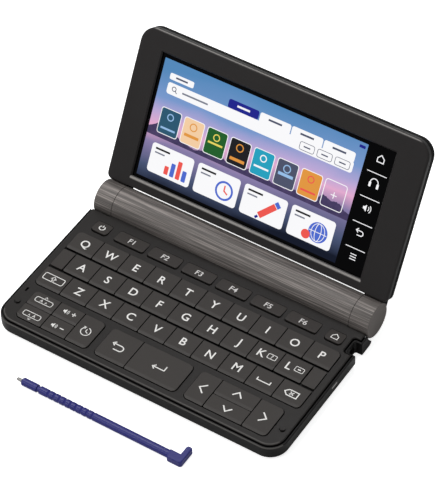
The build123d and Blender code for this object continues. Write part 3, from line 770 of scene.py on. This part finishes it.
# %% Lit colours
def lit(name, color, level=1.0):
    """A lit colour: the pixels' fine noise changes it by two percent, under the same slick coat."""
    finish = Finish(name)
    darker = tuple(part * 0.96 for part in color[:3]) + (1.0,)
    finish.set(Base_Color=paint(6, 6, 7), Emission_Color=finish.mix(finish.noise(0.4), darker, color),
               Emission_Strength=level, Roughness=0.08 + finish.noise(30) * 0.02, Specular_IOR_Level=0.12)
    return finish.material


lit_colors = {
    "white": paint(250, 250, 252), "navy": paint(18, 26, 138), "coral": paint(238, 84, 76),
    "blue": paint(74, 104, 206), "grey": paint(120, 124, 140), "peach": paint(244, 206, 164),
    "black": paint(16, 16, 22), "sky": paint(150, 190, 232), "teal": paint(36, 84, 110),
    "green": paint(22, 92, 34), "cyan": paint(28, 160, 190), "amber": paint(226, 150, 60),
    "slate": paint(74, 80, 104), "yellow": paint(232, 214, 96),
}
screen_parts = {name: [] for name in lit_colors}
CARD, SIGN, DETAIL = 0.02, 0.04, 0.06       # levels above the glass


def card(color, left, right, low, high, corner, level=CARD):
    screen_parts[color].append(plate(round_outline(left, right, low, high, corner), level - 0.04, level))


def sign(color, path, width, closed=False, level=SIGN):
    screen_parts[color].append(stroke(path, width, level - 0.03, level, closed))


def disc(color, x, u, radius, level=SIGN):
    screen_parts[color].append(plate(arc(x, u, radius, 0, 345, 24), level - 0.03, level))


# %% Search field, tabs and status
FIELD_LOW, FIELD_HIGH = 57.6, 63.0
card("white", -55.6, 41.0, FIELD_LOW, FIELD_HIGH, 1.2)
for number in range(3):
    left = -8.0 + number * 16.4
    card("white", left, left + 15.9, FIELD_HIGH - 0.6, 67.2, 1.0)
    sign("slate", [[left + 4.5, 65.2], [left + 11.4, 65.2]], 0.9)
card("navy", -24.4, -8.6, FIELD_HIGH, 67.2, 1.0)
sign("white", [[-19.8, 65.2], [-13.2, 65.2]], 0.9, level=DETAIL)
sign("slate", arc(-52.0, 60.6, 1.0, 0, 345, 20), 0.36, closed=True)
sign("slate", [[-51.3, 59.9], [-50.3, 58.9]], 0.4)
sign("grey", [[-47.6, 60.3], [-34.0, 60.3]], 0.8)
for left in (14.0, 23.0, 32.0):
    sign("slate", round_outline(left, left + 7.4, 58.5, 62.1, 0.9), 0.26, closed=True)
    sign("slate", [[left + 2.0, 60.3], [left + 5.4, 60.3]], 0.6)
card("white", -55.6, -43.0, 64.4, 67.4, 0.7)
sign("slate", [[-52.4, 65.9], [-46.2, 65.9]], 0.8)
card("navy", 41.2, 44.2, 70.4, 71.7, 0.3)

# %% Tiles, each with a band and a ring of its own
tile_colors = [("teal", "sky"), ("peach", "amber"), ("green", "yellow"), ("black", "amber"),
               ("cyan", "white"), ("slate", "sky"), ("amber", "coral")]
TILE_WIDTH, TILE_HEIGHT, TILE_PITCH, TILE_LOW, TILE_LEFT = 10.8, 12.6, 12.3, 38.6, -55.6
TILE_HIGH, TILE_BORDER = TILE_LOW + TILE_HEIGHT, 0.35
for number, (ground, accent) in enumerate(tile_colors):
    left = TILE_LEFT + number * TILE_PITCH
    middle = left + TILE_WIDTH / 2
    card("white", left, left + TILE_WIDTH, TILE_LOW, TILE_HIGH, 1.2)
    card(ground, left + TILE_BORDER, left + TILE_WIDTH - TILE_BORDER, TILE_LOW + TILE_BORDER,
         TILE_HIGH - TILE_BORDER, 1.0, SIGN)
    band = TILE_LOW + 3.0 + 1.4 * (number % 3)
    odd = number % 2
    sign(accent, [[left + 1.6, band], [left + TILE_WIDTH - 1.6, band]], 0.9 + 0.5 * odd, level=DETAIL)
    ring = arc(middle, TILE_LOW + 8.8, 1.5 + 0.2 * odd, 0, 345, 24)
    sign(accent, ring, 0.5, closed=True, level=DETAIL)
left = TILE_LEFT + len(tile_colors) * TILE_PITCH
sign("white", round_outline(left, left + TILE_WIDTH, TILE_LOW, TILE_HIGH, 1.2), 0.36, closed=True)
middle, height = left + TILE_WIDTH / 2, TILE_LOW + TILE_HEIGHT / 2
sign("white", [[middle - 1.5, height], [middle + 1.5, height]], 0.4)
sign("white", [[middle, height - 1.5], [middle, height + 1.5]], 0.4)

# %% Cards: a chart, a clock, a pencil and a globe
CARD_LOW, CARD_HIGH, CARD_WIDTH, CARD_PITCH = 19.6, 33.6, 22.4, 24.7
card_left = [-55.6 + number * CARD_PITCH for number in range(4)]
for left in card_left:
    card("white", left, left + CARD_WIDTH, CARD_LOW, CARD_HIGH, 1.5)
    sign("black", [[left + 2.0, 31.4], [left + 9.6, 31.4]], 0.9)
    sign("grey", [[left + 2.0, 29.4], [left + 7.2, 29.4]], 0.7)
for number, (color, height) in enumerate([("coral", 4.0), ("blue", 6.4), ("coral", 8.6), ("blue", 5.2)]):
    left = card_left[0] + 8.6 + number * 3.1
    card(color, left, left + 2.2, 21.2, 21.2 + height, 0.4, SIGN)
clock = (card_left[1] + 15.4, 25.6)
disc("blue", *clock, 4.6)
disc("white", *clock, 3.6, DETAIL)
hands = np.array([[0, 2.6], [0, 0], [2.0, -1.2]]) + clock
sign("coral", hands, 0.7, level=DETAIL + 0.02)
pen_x, pen_u = card_left[2] + 10.0, 21.8
sign("coral", [[pen_x, pen_u], [pen_x + 7.0, pen_u + 7.0]], 3.0)
sign("blue", [[pen_x + 7.2, pen_u + 7.2], [pen_x + 8.6, pen_u + 8.6]], 3.0)
sign("navy", [[pen_x - 1.6, pen_u - 1.6], [pen_x - 0.4, pen_u - 0.4]], 1.2)
globe = (card_left[3] + 15.0, 25.8)
disc("blue", *globe, 4.8)
for squeeze in (0.35, 0.8):
    sign("white", arc(0, 0, 4.2, 0, 345, 24) * (squeeze, 1.0) + globe, 0.3, closed=True, level=DETAIL)
sign("white", [[globe[0] - 4.4, globe[1]], [globe[0] + 4.4, globe[1]]], 0.3, level=DETAIL)
disc("coral", card_left[3] + 9.4, 23.0, 2.2, DETAIL + 0.02)

# %% [markdown]
# To the right of the picture a black strip carries touch signs, parted by short white lines:
# home, listen, sound, back and menu.

# %% Soft keys
STRIP_X, SOFT_LINE = 52.5, 0.42
for height in (62.2, 50.3, 38.2, 26.2):
    sign("white", [[47.7, height], [57.4, height]], 0.34)
home = np.array([[-1.6, -1.5], [1.6, -1.5], [1.6, 0.3], [0, 1.8], [-1.6, 0.3]])
sign("white", home + (STRIP_X, 69.0), SOFT_LINE, closed=True)
sign("white", arc(STRIP_X, 57.8, 1.9, -10, 190, 18), SOFT_LINE)
for side in (-1, 1):
    ear = STRIP_X + side * 1.9
    card("white", ear - 0.55, ear + 0.55, 55.5, 57.8, 0.4, SIGN)
speaker = np.array([[-1.0, -0.4], [-0.6, -0.4], [0.1, -1.1], [0.1, 1.1], [-0.6, 0.4], [-1.0, 0.4]]) * 1.5
screen_parts["white"].append(plate(speaker + (STRIP_X - 0.4, 45.6), 0.01, SIGN))
for reach in (1.3, 2.3):
    sign("white", arc(STRIP_X - 0.3, 45.6, reach, -45, 45, 9), 0.36)
back = np.concatenate([[[-1.6, 1.1]], arc(0.6, 0, 1.1, 90, -90, 10), [[-1.2, -1.1]]])
back_head = np.array([[-0.9, 2.1], [-1.9, 1.1], [-0.9, 0.1]])
for path in (back, back_head):
    sign("white", path + (STRIP_X, 33.6), SOFT_LINE)
for step in range(3):
    sign("white", [[STRIP_X - 1.5, 21.0 + 1.2 * step], [STRIP_X + 1.5, 21.0 + 1.2 * step]], 0.4)

for name, parts in screen_parts.items():
    make_piece("screen_" + name, joined(parts), lit("lit_" + name, lit_colors[name]), "lid", on_lid)
print("screen pieces", len(screen_parts))

# %% [markdown]
# ## Screws underneath
# Screws with a cross recess hold the two shells. The head is a shallow dome turned about its
# axis, with the cross pressed in where a point lies close to one of two crossing lines.

# %% Screw heads
steel = Finish("screw_steel")
scratches = steel.noise(0.12, detail=2)
steel.set(Base_Color=steel.mix(scratches, paint(70, 70, 72), paint(110, 110, 112)), Metallic=1.0,
          Roughness=0.32 + scratches * 0.2)
steel.bump(scratches, 0.004)
SCREW_RADIUS, SCREW_RISE, SCREW_SINK = 2.0, 0.45, 0.05
RECESS_DEPTH, RECESS_ARM, RECESS_HALF, RECESS_WALL, RECESS_END = 0.4, 1.3, 0.28, 0.1, 0.15
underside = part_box("bottom_case")[0].z / MM


def screw_head(x, y):
    """Height at radius r and angle a: rise (1 - (r/R)^4), less the recess where the nearer arm's
    distance min(|r cos a|, |r sin a|) is under its half width and r under its length."""
    rings, spokes = np.linspace(0.02, 1, 25) * SCREW_RADIUS, np.radians(np.arange(0, 360, 5))
    radius, angle = np.meshgrid(rings, spokes, indexing="ij")
    px, py = radius * np.cos(angle), radius * np.sin(angle)
    nearest = np.minimum(abs(px), abs(py))
    recess = (np.clip((RECESS_HALF - nearest) / RECESS_WALL + 0.5, 0, 1)
              * np.clip((RECESS_ARM - radius) / RECESS_END + 0.5, 0, 1))
    height = SCREW_RISE * (1 - (radius / SCREW_RADIUS) ** 4) - RECESS_DEPTH * recess
    points = np.stack([x + px, y + py, underside + SCREW_SINK - height], axis=-1).reshape(-1, 3)
    faces = grid_faces(*radius.shape, ring_columns=True)
    count = radius.shape[1]
    faces += [list(range(count)), list(range(len(points) - count, len(points)))[::-1]]
    return points, faces


screw_places = [(-60, 60), (60, 60), (0, 60), (0, 12)]
screws = joined([screw_head(x, front_y + y) for x, y in screw_places])
make_piece("case_screws", screws, steel.material, "base")

# %% [markdown]
# ## Thumb ridges on the battery door
# The door slides off under a thumb, so its skin has a few low ridges around the barrel. A ridge
# is a half wave across x, carried round the barrel's curve on both sides of straight down.

# %% Door ridges
RIDGE_COUNT, RIDGE_PITCH, RIDGE_WIDTH, RIDGE_RISE, RIDGE_REACH = 5, 2.0, 1.1, 0.3, 26


def ridge_part(middle_x):
    """About the hinge, at (x, angle a): radius = barrel + rise cos(pi x / width) cos(90 a / reach)."""
    across, angle = np.meshgrid(np.linspace(-0.5, 0.5, 9), np.linspace(-1, 1, 25), indexing="ij")
    rise = RIDGE_RISE * np.cos(np.pi * across) * np.cos(np.pi / 2 * angle)
    turn = np.radians(angle * RIDGE_REACH)
    outer = barrel_radius + rise
    skin = [np.stack([middle_x + across * RIDGE_WIDTH, hinge[1] + radius * np.sin(turn),
                      hinge[2] - radius * np.cos(turn)], axis=-1).reshape(-1, 3)
            for radius in (outer, np.full_like(outer, barrel_radius - 0.1))]
    top = grid_faces(*across.shape)
    count = across.size
    rows, columns = across.shape
    index = np.arange(count).reshape(rows, columns)
    rim = np.concatenate([index[0, :-1], index[:-1, -1], index[-1, :0:-1], index[:0:-1, 0]])
    following = np.roll(rim, -1)
    walls = np.stack([rim, following, following + count, rim + count], axis=1).tolist()
    bottom = [[number + count for number in face][::-1] for face in top]
    return np.concatenate(skin), top + walls + bottom


ridges = [ridge_part((number - (RIDGE_COUNT - 1) / 2) * RIDGE_PITCH) for number in range(RIDGE_COUNT)]
make_piece("door_ridges", joined(ridges), barrel_metal.material, "battery_door")

# %% [markdown]
# ## View transform
# The colours are shown with the standard view transform.

# %% Standard view transform
bpy.context.scene.view_settings.view_transform = "Standard"
